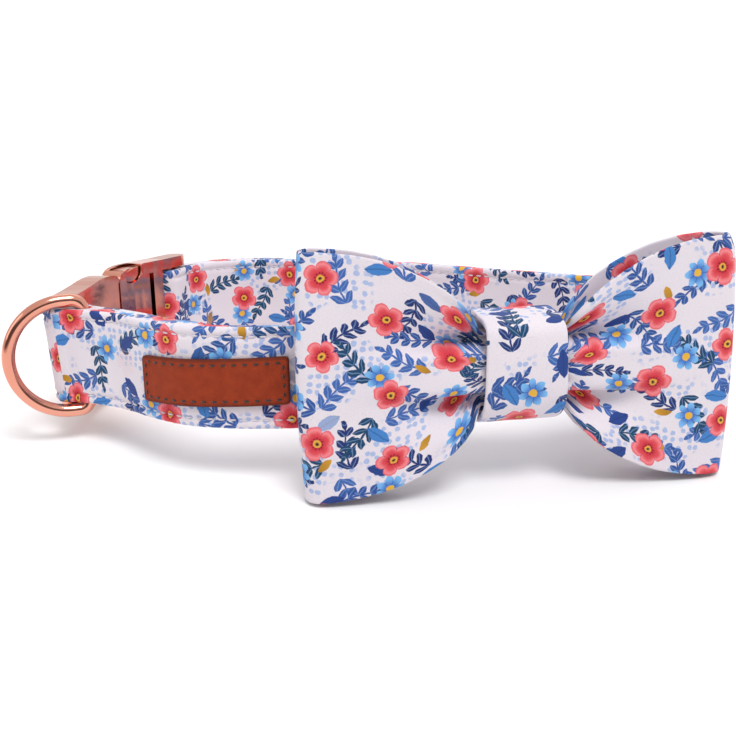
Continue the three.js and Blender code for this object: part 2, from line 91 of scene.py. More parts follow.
# ------------------------------------------------------------------ sizes, as the CAD has them
PLAN = [
    (-79.7, -20.67), (-77.0, -21.6), (-73.8, -23.5), (-66.8, -28.4),
    (-60.4, -33.6), (-53.0, -40.4), (-43.3, -47.2), (-30.2, -50.6),
    (-17.5, -51.1), (-4.0, -50.8), (10.0, -49.6), (22.0, -47.8),
    (36.8, -45.0), (54.0, -39.8), (69.5, -34.4), (82.0, -27.6),
    (88.6, -18.6), (86.6, -7.6), (76.4, 1.6), (62.8, 9.9),
    (53.1, 15.6), (34.9, 27.3), (12.2, 41.6), (-6.0, 48.2),
    (-23.0, 52.4), (-37.0, 54.4), (-47.6, 53.0), (-55.2, 48.2), (-62.97, 37.87),
]
# distance from the end, outer and inner thickness
NEAR = [(0, 5.4, 5.4), (3.4, 4.7, 4.8), (6.6, 4.0, 4.0), (11, 2.6, 4.0), (19, 1.6, 4.6), (46, 1.6, 4.6), (49.5, 1.6, 1.7)]
FAR = [(0, 5.0, 5.0), (4, 4.6, 3.4), (9, 4.6, 1.7), (40, 4.6, 1.6), (43.5, 1.7, 1.6)]
STRAP_W = 25.0
D_BAR, D_DIR, D_REACH, D_WIRE, D_HALF, D_CORNER = (-73.8, -23.5), math.radians(200), 19.5, 1.7, 14.7, 3.0
BOW_X, BOW_Y, BOW_YAW, BOW_Z = 35.6, -52.6, math.radians(8.8), 14.6
BOW_END, FOLD_R = 52.4, 3.6
# from the middle: half height, front panel, back panel, pleat depth, pleat width
BOW = [
    (0, 8.6, -4.2, 2.6, 3.7, 2.2), (10.0, 8.6, -4.2, 2.6, 3.8, 2.2), (11.4, 10.6, -4.9, 2.8, 4.6, 2.2), (13.0, 13.4, -5.3, 3.0, 5.0, 2.3),
    (15.4, 16.2, -5.7, 3.2, 5.2, 2.5), (18, 18.6, -5.9, 3.3, 4.8, 2.8), (21, 20.8, -5.9, 3.4, 3.9, 3.2), (25, 23.1, -5.7, 3.5, 2.6, 3.7),
    (30, 25.5, -5.4, 3.5, 1.3, 4.2), (35.5, 27.4, -5.0, 3.5, 0.45, 4.6), (42, 28.7, -4.5, 3.4, 0, 5), (48.8, 29.3, -4.0, 3.2, 0, 5), (53, 29.4, -4.0, 3.2, 0, 5),
]
KNOT = [
    (12.1, 12.5), (12.2, 6.4), (11.8, 2.5), (9.2, 1.05), (3.6, 1.0), (-1.0, 2.7), (-4.5, 5.7), (-5.8, 9.6),
    (-6.1, 14.6), (-5.9, 20.0), (-5.0, 24.2), (-1.8, 25.5), (3.2, 26.15), (8.4, 26.25), (11.5, 25.0), (12.1, 19.6),
]
KNOT_W = 19.4


def rows(table, col, x):
    if x <= table[0][0]:
        return table[0][col]
    for p, q in zip(table, table[1:]):
        if x <= q[0]:
            f = (x - p[0]) / (q[0] - p[0])
            return p[col] + (q[col] - p[col]) * (f * f * (3 - 2 * f) * 0.5 + f * 0.5)
    return table[-1][col]


def spline(points, closed, per=60):
    """Centripetal Catmull-Rom through the points."""
    p = [np.array(q, float) for q in points]
    n = len(p)
    out = []
    for i in range(n if closed else n - 1):
        p1, p2 = p[i], p[(i + 1) % n]
        p0 = p[(i - 1) % n] if closed or i > 0 else 2 * p1 - p2
        p3 = p[(i + 2) % n] if closed or i < n - 2 else 2 * p2 - p1
        d0, d1, d2 = (max(np.linalg.norm(b - a), 1e-4) ** 0.5 for a, b in ((p0, p1), (p1, p2), (p2, p3)))
        t1 = ((p1 - p0) / d0 - (p2 - p0) / (d0 + d1) + (p2 - p1) / d1) * d1
        t2 = ((p2 - p1) / d1 - (p3 - p1) / (d1 + d2) + (p3 - p2) / d2) * d1
        for k in range(per):
            t = k / per
            out.append(p1 + t * t1 + t * t * (-3 * p1 + 3 * p2 - 2 * t1 - t2) + t ** 3 * (2 * p1 - 2 * p2 + t1 + t2))
    if not closed:
        out.append(p[-1])
    return np.array(out)


class Path:
    """A polyline measured by its length."""

    def __init__(self, pts, closed=False):
        self.p = np.vstack([pts, pts[:1]]) if closed else pts
        self.d = np.concatenate([[0], np.cumsum(np.linalg.norm(np.diff(self.p, axis=0), axis=1))])
        self.length = self.d[-1]

    def at(self, d):
        return np.array([np.interp(d, self.d, self.p[:, k]) for k in range(self.p.shape[1])])

    def tangent(self, d):
        e = 0.4
        t = self.at(min(d + e, self.length)) - self.at(max(d - e, 0))
        return t / np.linalg.norm(t)


PATH = Path(spline(PLAN, False))


def thick(d, col):
    return rows(NEAR, col, d) if d < PATH.length / 2 else rows(FAR, col, PATH.length - d)


def strap_point(d, off):
    """A plan point at distance d along the strap, off outward from its middle line."""
    p, t = PATH.at(d), PATH.tangent(d)
    return p + off * np.array([t[1], -t[0]])


# ------------------------------------------------------------------ materials
def lin(r, g, b):
    def f(c):
        c /= 255
        return c / 12.92 if c <= 0.04045 else ((c + 0.055) / 1.055) ** 2.4
    return (f(r), f(g), f(b), 1.0)


class Tree:
    """Short hands for wiring nodes."""

    def __init__(self, name):
        self.mat = bpy.data.materials.new(name)
        self.mat.use_nodes = True
        self.t = self.mat.node_tree
        self.bsdf = self.t.nodes["Principled BSDF"]

    def node(self, kind, **props):
        n = self.t.nodes.new(kind)
        for k, v in props.items():
            setattr(n, k, v)
        return n

    def put(self, socket, value):
        if hasattr(value, "links") or hasattr(value, "is_linked"):
            self.t.links.new(value, socket)
        elif value is not None:
            socket.default_value = value

    def m(self, op, a, b=None, c=None, clamp=False):
        n = self.node("ShaderNodeMath", operation=op, use_clamp=clamp)
        for s, v in zip(n.inputs, (a, b, c)):
            self.put(s, v)
        return n.outputs[0]

    def vec(self, x, y, z=0.0):
        n = self.node("ShaderNodeCombineXYZ")
        for s, v in zip(n.inputs, (x, y, z)):
            self.put(s, v)
        return n.outputs[0]

    def xyz(self, v):
        n = self.node("ShaderNodeSeparateXYZ")
        self.put(n.inputs[0], v)
        return n.outputs

    def step(self, x, lo, hi, a=0.0, b=1.0):
        """Smooth change from a at lo to b at hi."""
        n = self.node("ShaderNodeMapRange", interpolation_type="SMOOTHSTEP")
        self.put(n.inputs[0], x)
        for s, v in zip(list(n.inputs)[1:5], (lo, hi, a, b)):
            self.put(s, v)
        return n.outputs[0]

    def mix(self, f, a, b, mode="MIX"):
        n = self.node("ShaderNodeMix", data_type="RGBA", blend_type=mode)
        self.put(n.inputs[0], f)
        self.put(n.inputs[6], a)
        self.put(n.inputs[7], b)
        return n.outputs[2]

    def ramp(self, f, stops):
        n = self.node("ShaderNodeValToRGB")
        e = n.color_ramp.elements
        while len(e) < len(stops):
            e.new(0.5)
        for el, (p, c) in zip(e, stops):
            el.position, el.color = p, c
        self.put(n.inputs[0], f)
        return n.outputs[0]

    def noise(self, v, scale, detail=3.0, rough=0.55):
        n = self.node("ShaderNodeTexNoise")
        self.put(n.inputs["Vector"], v)
        n.inputs["Scale"].default_value = scale
        n.inputs["Detail"].default_value = detail
        n.inputs["Roughness"].default_value = rough
        return n.outputs["Fac"]

    def bump(self, height, strength, distance, normal=None):
        n = self.node("ShaderNodeBump")
        n.inputs["Strength"].default_value = strength
        n.inputs["Distance"].default_value = distance
        self.put(n.inputs["Height"], height)
        if normal is not None:
            self.put(n.inputs["Normal"], normal)
        return n.outputs[0]

    def uv(self):
        return self.node("ShaderNodeUVMap", uv_map="cloth").outputs[0]


def cell(T, u, v, w, h, jitter, seed):
    """Local coordinates inside a half-drop repeat, turned and moved by chance, and three chances."""
    x = T.m("DIVIDE", u, w)
    row = T.m("FLOOR", x)
    y = T.m("ADD", T.m("DIVIDE", v, h), T.m("MULTIPLY", T.m("FLOORED_MODULO", row, 2.0), 0.5))
    col = T.m("FLOOR", y)
    wn = T.node("ShaderNodeTexWhiteNoise", noise_dimensions="3D")
    T.put(wn.inputs["Vector"], T.vec(row, col, seed))
    chance = T.xyz(wn.outputs["Color"])
    px = T.m("MULTIPLY_ADD", T.m("SUBTRACT", T.m("SUBTRACT", x, row), 0.5), w, T.m("MULTIPLY", T.m("SUBTRACT", chance[0], 0.5), jitter))
    py = T.m("MULTIPLY_ADD", T.m("SUBTRACT", T.m("SUBTRACT", y, col), 0.5), h, T.m("MULTIPLY", T.m("SUBTRACT", chance[1], 0.5), jitter))
    ang = T.m("MULTIPLY", chance[2], 6.2832)
    c, s = T.m("COSINE", ang), T.m("SINE", ang)
    qx = T.m("ADD", T.m("MULTIPLY", px, c), T.m("MULTIPLY", py, s))
    qy = T.m("SUBTRACT", T.m("MULTIPLY", py, c), T.m("MULTIPLY", px, s))
    return qx, qy, chance, wn.outputs["Value"]


def leaf_mask(T, x, y, length, width):
    """1 inside a pointed leaf from x = 0 to length."""
    f = T.m("DIVIDE", x, length)
    g = T.m("MULTIPLY", T.m("MULTIPLY", f, T.m("SUBTRACT", 1.0, f)), 4.0)
    edge = T.m("MULTIPLY", T.m("POWER", T.m("MAXIMUM", g, 0.0), 0.8), width / 2)
    return T.step(T.m("SUBTRACT", T.m("ABSOLUTE", y), edge), -0.24, -0.04, 1.0, 0.0), f


def print_colour(T, u, v):
    """A scattered garden print, in mm: coral blossoms, blue daisies, leafy sprigs, buds and pale florets."""
    uvw = T.vec(u, v, 0.0)
    ground = T.mix(T.noise(uvw, 0.05, 2.0), lin(231, 222, 226), lin(221, 213, 224))
    col = ground
    # pale florets in drifts
    vor = T.node("ShaderNodeTexVoronoi", feature="F1", voronoi_dimensions="2D")
    T.put(vor.inputs["Vector"], uvw)
    vor.inputs["Scale"].default_value = 0.50
    vor.inputs["Randomness"].default_value = 0.55
    drift = T.step(T.noise(T.vec(T.m("ADD", u, 91.0), v, 3.0), 0.085, 1.0), 0.50, 0.56)
    dots = T.m("MULTIPLY", T.step(vor.outputs["Distance"], 0.27, 0.36, 1.0, 0.0), drift)
    col = T.mix(T.m("MULTIPLY", dots, 0.8), col, lin(150, 174, 220))

    # sprigs: a stem with paired leaflets that shrink towards its tip
    for w, h, seed, dark, light in ((15.2, 13.4, 3.0, lin(30, 50, 110), lin(62, 100, 170)), (13.6, 15.8, 17.0, lin(20, 66, 102), lin(48, 84, 152))):
        uo, vo = (u, v) if seed < 10 else (T.m("ADD", u, 7.3), T.m("ADD", v, 5.1))
        x, y, ch, val = cell(T, uo, vo, w, h, 2.4, seed)
        x = T.m("ADD", x, 5.2)
        bend = T.m("MULTIPLY", T.m("SINE", T.m("MULTIPLY", x, 0.42)), 0.55)
        y = T.m("SUBTRACT", y, bend)
        pitch = 2.75
        k = T.m("FLOOR", T.m("DIVIDE", x, pitch))
        lx = T.m("SUBTRACT", x, T.m("MULTIPLY", k, pitch))
        ay = T.m("ABSOLUTE", y)
        ca, sa = math.cos(0.72), math.sin(0.72)
        rx = T.m("ADD", T.m("MULTIPLY", lx, ca), T.m("MULTIPLY", ay, sa))
        ry = T.m("SUBTRACT", T.m("MULTIPLY", ay, ca), T.m("MULTIPLY", lx, sa))
        size = T.m("SUBTRACT", 4.1, T.m("MULTIPLY", k, 0.42))
        f = T.m("DIVIDE", rx, size)
        g = T.m("POWER", T.m("MAXIMUM", T.m("MULTIPLY", T.m("MULTIPLY", f, T.m("SUBTRACT", 1.0, f)), 4.0), 0.0), 0.8)
        lf = T.step(T.m("SUBTRACT", T.m("ABSOLUTE", ry), T.m("MULTIPLY", g, 0.92)), -0.22, -0.04, 1.0, 0.0)
        inside = T.m("MULTIPLY", T.step(x, -0.1, 0.1), T.step(x, 10.4, 10.6, 1.0, 0.0))
        stem = T.step(ay, 0.14, 0.32, 1.0, 0.0)
        tip, _ = leaf_mask(T, T.m("SUBTRACT", x, 9.6), y, 3.4, 1.5)
        mask = T.m("MAXIMUM", T.m("MULTIPLY", T.m("MAXIMUM", lf, stem), inside), tip)
        keep = T.step(val, 0.10, 0.12)
        shade = T.mix(T.step(ch[0], 0.40, 0.60), dark, light)
        vein = T.m("MULTIPLY", T.step(T.m("ABSOLUTE", ry), 0.06, 0.18, 1.0, 0.0), lf)
        shade = T.mix(T.m("MULTIPLY", vein, 0.35), shade, lin(150, 178, 222))
        col = T.mix(T.m("MULTIPLY", mask, keep), col, shade)

    # single broad leaves and ochre buds
    x, y, ch, val = cell(T, T.m("ADD", u, 3.7), T.m("ADD", v, 9.2), 11.8, 10.6, 2.6, 29.0)
    mask, f = leaf_mask(T, T.m("ADD", x, 3.2), y, 6.6, 3.3)
    vein = T.m("MULTIPLY", T.step(T.m("ABSOLUTE", y), 0.08, 0.22, 1.0, 0.0), 0.45)
    ribs = T.step(T.m("ABSOLUTE", T.m("SINE", T.m("SUBTRACT", T.m("MULTIPLY", x, 3.2), T.m("MULTIPLY", T.m("ABSOLUTE", y), 3.2)))), 0.0, 0.22, 0.30, 0.0)
    shade = T.mix(T.step(ch[1], 0.45, 0.55), lin(38, 66, 136), lin(68, 128, 196))
    shade = T.mix(T.m("MAXIMUM", vein, ribs), shade, lin(28, 48, 104))
    is_bud = T.step(val, 0.78, 0.79)
    shade = T.mix(is_bud, shade, T.mix(f, lin(214, 158, 52), lin(150, 104, 30)))
    narrow, _ = leaf_mask(T, T.m("ADD", x, 2.4), y, 4.4, 2.2)
    mask = T.m("ADD", T.m("MULTIPLY", mask, T.m("SUBTRACT", 1.0, is_bud)), T.m("MULTIPLY", narrow, is_bud))
    col = T.mix(T.m("MULTIPLY", mask, T.step(val, 0.24, 0.26)), col, shade)

    # blue daisies
    x, y, ch, val = cell(T, T.m("ADD", u, 12.5), T.m("ADD", v, 2.4), 19.0, 17.0, 5.0, 41.0)
    r = T.m("SQRT", T.m("ADD", T.m("MULTIPLY", x, x), T.m("MULTIPLY", y, y)))
    th = T.m("ARCTAN2", y, x)
    lobe = T.m("ABSOLUTE", T.m("COSINE", T.m("MULTIPLY", th, 3.5)))
    edge = T.m("MULTIPLY_ADD", T.m("POWER", lobe, 0.55), 1.7, 1.75)
    mask = T.step(T.m("SUBTRACT", r, edge), -0.10, 0.10, 1.0, 0.0)
    shade = T.mix(T.m("MULTIPLY", T.step(lobe, 0.05, 0.5, 1.0, 0.0), 0.65), T.mix(T.step(r, 0.8, 3.2), lin(66, 116, 196), lin(122, 182, 232)), lin(48, 84, 160))
    shade = T.mix(T.step(r, 0.85, 1.05, 1.0, 0.0), shade, lin(226, 176, 62))
    col = T.mix(T.m("MULTIPLY", mask, T.step(val, 0.16, 0.18)), col, shade)

    # coral blossoms of five rounded petals
    x, y, ch, val = cell(T, T.m("ADD", u, 2.2), T.m("ADD", v, 6.6), 16.4, 18.6, 4.2, 53.0)
    r = T.m("SQRT", T.m("ADD", T.m("MULTIPLY", x, x), T.m("MULTIPLY", y, y)))
    th = T.m("ARCTAN2", y, x)
    lobe = T.m("ABSOLUTE", T.m("COSINE", T.m("MULTIPLY", th, 2.5)))
    size = T.m("MULTIPLY_ADD", ch[0], 0.9, 3.75)
    edge = T.m("MULTIPLY", T.m("MULTIPLY_ADD", T.m("POWER", lobe, 0.5), 0.36, 0.66), size)
    mask = T.step(T.m("SUBTRACT", r, edge), -0.12, 0.12, 1.0, 0.0)
    f = T.m("DIVIDE", r, edge)
    streak = T.m("ABSOLUTE", T.m("SINE", T.m("MULTIPLY", th, 12.5)))
    petal = T.ramp(f, [(0.0, lin(168, 34, 52)), (0.34, lin(206, 50, 64)), (0.62, lin(224, 80, 88)), (0.84, lin(240, 136, 142)), (1.0, lin(226, 92, 102))])
    petal = T.mix(T.m("MULTIPLY", T.m("MULTIPLY", T.step(streak, 0.0, 0.5, 1.0, 0.0), T.step(f, 0.3, 0.75, 1.0, 0.0)), 0.5), petal, lin(178, 36, 56))
    petal = T.mix(T.m("MULTIPLY", T.step(lobe, 0.0, 0.20, 1.0, 0.0), 0.75), petal, lin(192, 48, 66))
    heart = T.step(r, 0.80, 1.0, 1.0, 0.0)
    ring = T.m("MULTIPLY", T.step(T.m("ABSOLUTE", T.m("SUBTRACT", r, 1.25)), 0.12, 0.26, 1.0, 0.0), T.step(T.m("SINE", T.m("MULTIPLY", th, 11.0)), 0.0, 0.4))
    petal = T.mix(heart, petal, T.mix(T.step(r, 0.2, 0.6), lin(58, 34, 40), lin(226, 170, 66)))
    petal = T.mix(ring, petal, lin(120, 26, 40))
    col = T.mix(T.m("MULTIPLY", mask, T.step(val, 0.06, 0.08)), col, petal)
    return col


def cloth_material(name, print_offset=(0.0, 0.0)):
    T = Tree(name)
    uv = T.xyz(T.uv())
    u, v = T.m("ADD", uv[0], print_offset[0]), T.m("ADD", uv[1], print_offset[1])
    # the print wanders a little, as ink on cloth does
    wob = T.node("ShaderNodeTexNoise")
    T.put(wob.inputs["Vector"], T.vec(u, v, 0.0))
    wob.inputs["Scale"].default_value = 0.55
    wob.inputs["Detail"].default_value = 2.0
    w = T.xyz(wob.outputs["Color"])
    pu = T.m("MULTIPLY_ADD", T.m("SUBTRACT", w[0], 0.5), 0.9, u)
    pv = T.m("MULTIPLY_ADD", T.m("SUBTRACT", w[1], 0.5), 0.9, v)
    col = print_colour(T, pu, pv)
    # plain weave: warp and weft at 0.36 mm, with slubs
    wx = T.m("SINE", T.m("MULTIPLY", u, 2 * math.pi / 0.36))
    wy = T.m("SINE", T.m("MULTIPLY", v, 2 * math.pi / 0.36))
    weave = T.m("MULTIPLY", wx, wy)
    slub = T.noise(T.vec(T.m("MULTIPLY", u, 0.25), T.m("MULTIPLY", v, 3.0), 0.0), 1.0, 2.0)
    grain = T.m("ADD", T.m("MULTIPLY", weave, 0.5), T.m("MULTIPLY", slub, 0.9))
    # painted shade: the colour is darker where the weave sinks and lighter on its crossings, mixed with random yarn
    # tone from the noise
    shade = T.step(T.m("ADD", T.m("MULTIPLY", weave, 0.25), T.noise(T.vec(u, v, 5.0), 2.4, 3.0)), 0.0, 1.0, 0.90, 1.05)
    col = T.mix(1.0, col, T.vec(shade, shade, shade), "MULTIPLY")
    T.put(T.bsdf.inputs["Base Color"], col)
    T.put(T.bsdf.inputs["Roughness"], T.step(slub, 0.2, 0.8, 0.72, 0.88))
    T.bsdf.inputs["Sheen Weight"].default_value = 0.18
    T.bsdf.inputs["Sheen Roughness"].default_value = 0.4
    T.bsdf.inputs["Specular IOR Level"].default_value = 0.3
    T.put(T.bsdf.inputs["Normal"], T.bump(grain, 0.35, 0.00006))
    return T.mat


def metal_material():
    T = Tree("rose_gold")
    pos = T.node("ShaderNodeTexCoord").outputs["Object"]
    n1 = T.noise(pos, 60.0, 4.0)
    n2 = T.noise(pos, 900.0, 2.0)
    T.put(T.bsdf.inputs["Base Color"], T.mix(T.step(n1, 0.35, 0.65), lin(226, 152, 130), lin(234, 164, 142)))
    T.bsdf.inputs["Metallic"].default_value = 1.0
    T.put(T.bsdf.inputs["Roughness"], T.step(T.m("ADD", n1, T.m("MULTIPLY", n2, 0.4)), 0.4, 1.0, 0.08, 0.15))
    T.put(T.bsdf.inputs["Normal"], T.bump(n2, 0.10, 0.00003))
    return T.mat


def leather_material():
    T = Tree("tan_leather")
    uv = T.xyz(T.uv())
    u, v = uv[0], uv[1]
    uvw = T.vec(u, v, 0.0)
    vor = T.node("ShaderNodeTexVoronoi", feature="DISTANCE_TO_EDGE", voronoi_dimensions="2D")
    T.put(vor.inputs["Vector"], T.vec(T.m("ADD", u, T.m("MULTIPLY", T.noise(uvw, 1.2), 0.6)), v, 0.0))
    vor.inputs["Scale"].default_value = 2.1
    crease = T.step(vor.outputs["Distance"], 0.0, 0.12)
    cloud = T.noise(uvw, 0.35, 4.0, 0.6)
    fine = T.noise(uvw, 5.0, 3.0)
    base = T.mix(T.step(cloud, 0.3, 0.7), lin(142, 48, 17), lin(158, 57, 22))
    base = T.mix(T.m("MULTIPLY", T.m("SUBTRACT", 1.0, crease), 0.35), base, lin(96, 34, 14))
    # burnished rim, from the distance to the label's edge kept as a colour attribute
    rim = T.node("ShaderNodeAttribute", attribute_name="rim").outputs["Fac"]
    base = T.mix(T.step(rim, 0.0, 1.1, 0.75, 0.0), base, lin(74, 28, 14))
    T.put(T.bsdf.inputs["Base Color"], base)
    T.put(T.bsdf.inputs["Roughness"], T.step(fine, 0.3, 0.7, 0.55, 0.72))
    T.bsdf.inputs["Specular IOR Level"].default_value = 0.22
    h = T.m("ADD", T.m("MULTIPLY", crease, 0.8), T.m("MULTIPLY", fine, 0.5))
    T.put(T.bsdf.inputs["Normal"], T.bump(h, 0.5, 0.00012))
    return T.mat


def thread_material(name, colour, dark):
    T = Tree(name)
    uv = T.xyz(T.uv())
    twist = T.m("SINE", T.m("MULTIPLY", T.m("ADD", uv[0], T.m("MULTIPLY", uv[1], 0.5)), 2 * math.pi / 0.30))
    # painted shade: the colour turns to the darker value in the grooves of the twist, where the bump sinks
    T.put(T.bsdf.inputs["Base Color"], T.mix(T.step(twist, -0.9, 0.9), dark, colour))
    T.put(T.bsdf.inputs["Roughness"], T.step(twist, -1.0, 1.0, 0.70, 0.55))
    T.bsdf.inputs["Sheen Weight"].default_value = 0.25
    T.put(T.bsdf.inputs["Normal"], T.bump(twist, 0.4, 0.00005))
    return T.mat


CLOTH = cloth_material("printed_cloth")
CLOTH_BOW = cloth_material("printed_cloth_bow", (148.0, 63.0))
CLOTH_KNOT = cloth_material("printed_cloth_knot", (301.0, 127.0))
METAL = metal_material()
LEATHER = leather_material()
# the third colour of each thread is painted shade for the grooves of its twist
THREAD = thread_material("white_thread", lin(236, 230, 236), lin(196, 190, 202))
THREAD_DARK = thread_material("brown_thread", lin(58, 30, 22), lin(30, 14, 10))


# ------------------------------------------------------------------ meshes
def make(name, verts, faces, mat, uvs=None, smooth=True):
    """verts in mm on the level collar; uvs, if any, one for each corner of each face, in mm."""
    me = bpy.data.meshes.new(name)
    me.from_pydata([tuple(p) for p in world(verts)], [], [tuple(int(i) for i in f) for f in faces])
    if uvs is not None:
        layer = me.uv_layers.new(name="cloth")
        flat = np.array([c for f in uvs for c in f], dtype=np.float32).ravel()
        layer.data.foreach_set("uv", flat)
    me.polygons.foreach_set("use_smooth", [smooth] * len(me.polygons))
    me.materials.append(mat)
    me.validate()
    me.update()
    o = bpy.data.objects.new(name, me)
    bpy.context.scene.collection.objects.link(o)
    return o


def recalc(o):
    bm = bmesh.new()
    bm.from_mesh(o.data)
    bmesh.ops.recalc_face_normals(bm, faces=bm.faces)
    bm.to_mesh(o.data)
    bm.free()


def tube_faces(n, m, u_of, v_of, closed_n=True):
    faces, uvs = [], []
    for i in range(n if closed_n else n - 1):
        i2 = (i + 1) % n
        for j in range(m):
            j2 = (j + 1) % m
            faces.append((i * m + j, i2 * m + j, i2 * m + j2, i * m + j2))
            uvs.append(((u_of(i), v_of(j)), (u_of(i + 1), v_of(j)), (u_of(i + 1), v_of(j + 1)), (u_of(i), v_of(j + 1))))
    return faces, uvs


# ---- strap
Z_ROWS = [0.0, 0.12, 0.45, 0.95, 1.5, 1.9, 2.25, 2.6, 3.1, 4.0, 5.6, 8.0, 10.4, 12.5]
Z_ROWS = Z_ROWS + [STRAP_W - z for z in Z_ROWS[-2::-1]]
SEAM = 2.3


def inset(z):
    """How far the strap's face stands back at height z: rounded edge and the pull of the seam."""
    e = min(z, STRAP_W - z)
    r = 0.95
    back = r - math.sqrt(max(r * r - (r - e) ** 2, 0)) if e < r else 0.0
    return back + 0.42 * math.exp(-((e - SEAM) / 0.48) ** 2) + 0.05 * math.exp(-((e - 12.5) / 6.0) ** 2)


def ripple(d, z, side):
    """Shallow puckers along the seams and slow waves of the cloth, mm outward."""
    e = min(z, STRAP_W - z)
    near = math.exp(-((e - 1.3) / 1.6) ** 2)
    pucker = 0.15 * near * math.sin(d * 2.17 + (1.3 if z > 12 else 0) + side)
    wave = 0.12 * math.sin(d * 0.21 + z * 0.13 + side * 2.0) * math.sin(z * math.pi / STRAP_W)
    return pucker + wave


def pinch(p, z):
    """Height on the strap once the knot's band has drawn its lower edge up."""
    a = (p[0] - BOW_X) * math.cos(BOW_YAW) + (p[1] - BOW_Y) * math.sin(BOW_YAW)
    if p[1] > 0:
        return z
    f = 1 / (1 + math.exp((abs(a) - 14.0) / 1.1))
    return z + 2.35 * f * (1 - z / STRAP_W) ** 1.5


def strap_outline():
    """Closed outline of the strap in plan, with each point's distance, outward direction and side."""
    out = []
    ds = np.concatenate([np.arange(0, 24, 0.8), np.linspace(24, PATH.length - 24, 360), PATH.length - np.arange(0, 24, 0.8)[::-1]])
    tan0, tan1 = PATH.tangent(0), PATH.tangent(PATH.length)
    for d in ds:
        t = PATH.tangent(d)
        n = np.array([t[1], -t[0]])
        out.append((PATH.at(d) + n * thick(d, 1), n, d, 0))
    c = PATH.at(PATH.length)
    n1 = np.array([tan1[1], -tan1[0]])
    for k in range(1, 16):
        a = math.pi * k / 16
        n = n1 * math.cos(a) + tan1 * math.sin(a)
        out.append((c + n * 5.0, n, PATH.length + 5.0 * a, 0))
    base = PATH.length + 5.0 * math.pi
    for d in ds[::-1]:
        t = PATH.tangent(d)
        n = -np.array([t[1], -t[0]])
        out.append((PATH.at(d) + n * thick(d, 2), n, base + PATH.length - d, 1))
    c = PATH.at(0)
    n0 = -np.array([tan0[1], -tan0[0]])
    for k in range(1, 16):
        a = math.pi * k / 16
        n = n0 * math.cos(a) - tan0 * math.sin(a)
        out.append((c + n * 5.4, n, base + PATH.length + 5.4 * a, 1))
    return out


def build_strap():
    outline = strap_outline()
    n, m = len(outline), len(Z_ROWS)
    verts, faces, uvs = [], [], []
    for p, nn, d, side in outline:
        for z in Z_ROWS:
            q = p - nn * inset(z) + nn * ripple(d, z, side)
            lean = 2.0 * (1 - z / STRAP_W) * math.exp(-(d / 7.0) ** 2) if side == 0 and d < PATH.length / 2 else 0.0
            if side == 1 and d > 2 * PATH.length:
                lean = 2.0 * (1 - z / STRAP_W) * max(-nn[0], 0)
            verts.append((q[0] + lean * (1 if nn[0] < 0.3 else 0), q[1], pinch(p, z)))
    total = outline[-1][2] + 3
    dist = [o[2] for o in outline] + [total]
    for i in range(n):
        i2 = (i + 1) % n
        for j in range(m - 1):
            faces.append((i * m + j, i2 * m + j, i2 * m + j + 1, i * m + j + 1))
            uvs.append(((dist[i], Z_ROWS[j]), (dist[i + 1], Z_ROWS[j]), (dist[i + 1], Z_ROWS[j + 1]), (dist[i], Z_ROWS[j + 1])))
    # eyes for the bars
    eyes = [(PATH.at(0), 2.4), (PATH.at(PATH.length), 2.6), (np.array(D_BAR), 2.1)]
    rings = []
    for c, r in eyes:
        start = len(verts)
        for j, z in enumerate((0.0, 0.5, STRAP_W - 0.5, STRAP_W)):
            rr = r + (0.4 if j in (0, 3) else 0)
            for k in range(20):
                a = 2 * math.pi * k / 20
                verts.append((c[0] + rr * math.cos(a), c[1] + rr * math.sin(a), z))
        for j in range(3):
            for k in range(20):
                k2 = (k + 1) % 20
                faces.append((start + j * 20 + k, start + (j + 1) * 20 + k, start + (j + 1) * 20 + k2, start + j * 20 + k2))
                uvs.append(((k, j), (k, j + 1), (k + 1, j + 1), (k + 1, j)))
        rings.append(start)
    for top in (False, True):
        j = m - 1 if top else 0
        loop = [i * m + j for i in range(n)]
        holes = [[s + (60 if top else 0) + k for k in range(20)] for s in rings]
        polys = [[Vector((verts[i][0], verts[i][1], 0)) for i in ring] for ring in [loop] + holes]
        index = loop + [i for h in holes for i in h]
        along = {loop[i]: dist[i] for i in range(n)}
        for tri in tessellate_polygon(polys):
            f = [index[i] for i in tri]
            faces.append(tuple(f))
            uvs.append(tuple((verts[i][0] + 40, verts[i][1] + (31 if top else 77)) for i in f))
    o = make("strap_cloth", verts, faces, CLOTH, uvs)
    recalc(o)
    return o


def stitch_mesh(name, runs, radius, mat, flat=0.6, segs=6):
    """Short rounded stitches. runs is a list of (start, end, outward) in mm."""
    verts, faces, uvs = [], [], []
    prof = [(0.0, 0.25), (0.12, 0.75), (0.3, 1.0), (0.7, 1.0), (0.88, 0.75), (1.0, 0.25)]
    for a, b, out in runs:
        a, b, out = np.array(a, float), np.array(b, float), np.array(out, float)
        t = b - a
        ln = np.linalg.norm(t)
        t = t / ln
        side = np.cross(t, out)
        base = len(verts)
        for f, s in prof:
            c = a + (b - a) * f + out * (radius * 0.9 * (s - 0.5))
            for k in range(segs):
                g = 2 * math.pi * k / segs
                verts.append(tuple(c + side * (radius * s * math.cos(g)) + out * (radius * flat * s * math.sin(g))))
        for i in range(len(prof) - 1):
            for k in range(segs):
                k2 = (k + 1) % segs
                faces.append((base + i * segs + k, base + i * segs + k2, base + (i + 1) * segs + k2, base + (i + 1) * segs + k))
                u0, u1 = prof[i][0] * ln, prof[i + 1][0] * ln
                uvs.append(((u0, k * 0.3), (u0, k * 0.3 + 0.3), (u1, k * 0.3 + 0.3), (u1, k * 0.3)))
        for ring, rev in ((0, False), (len(prof) - 1, True)):
            f = [base + ring * segs + k for k in range(segs)]
            f = f if rev else f[::-1]
            faces.append(tuple(f))
            uvs.append(tuple((0.0, 0.0) for _ in f))
    o = make(name, verts, faces, mat, uvs)
    recalc(o)
    return o


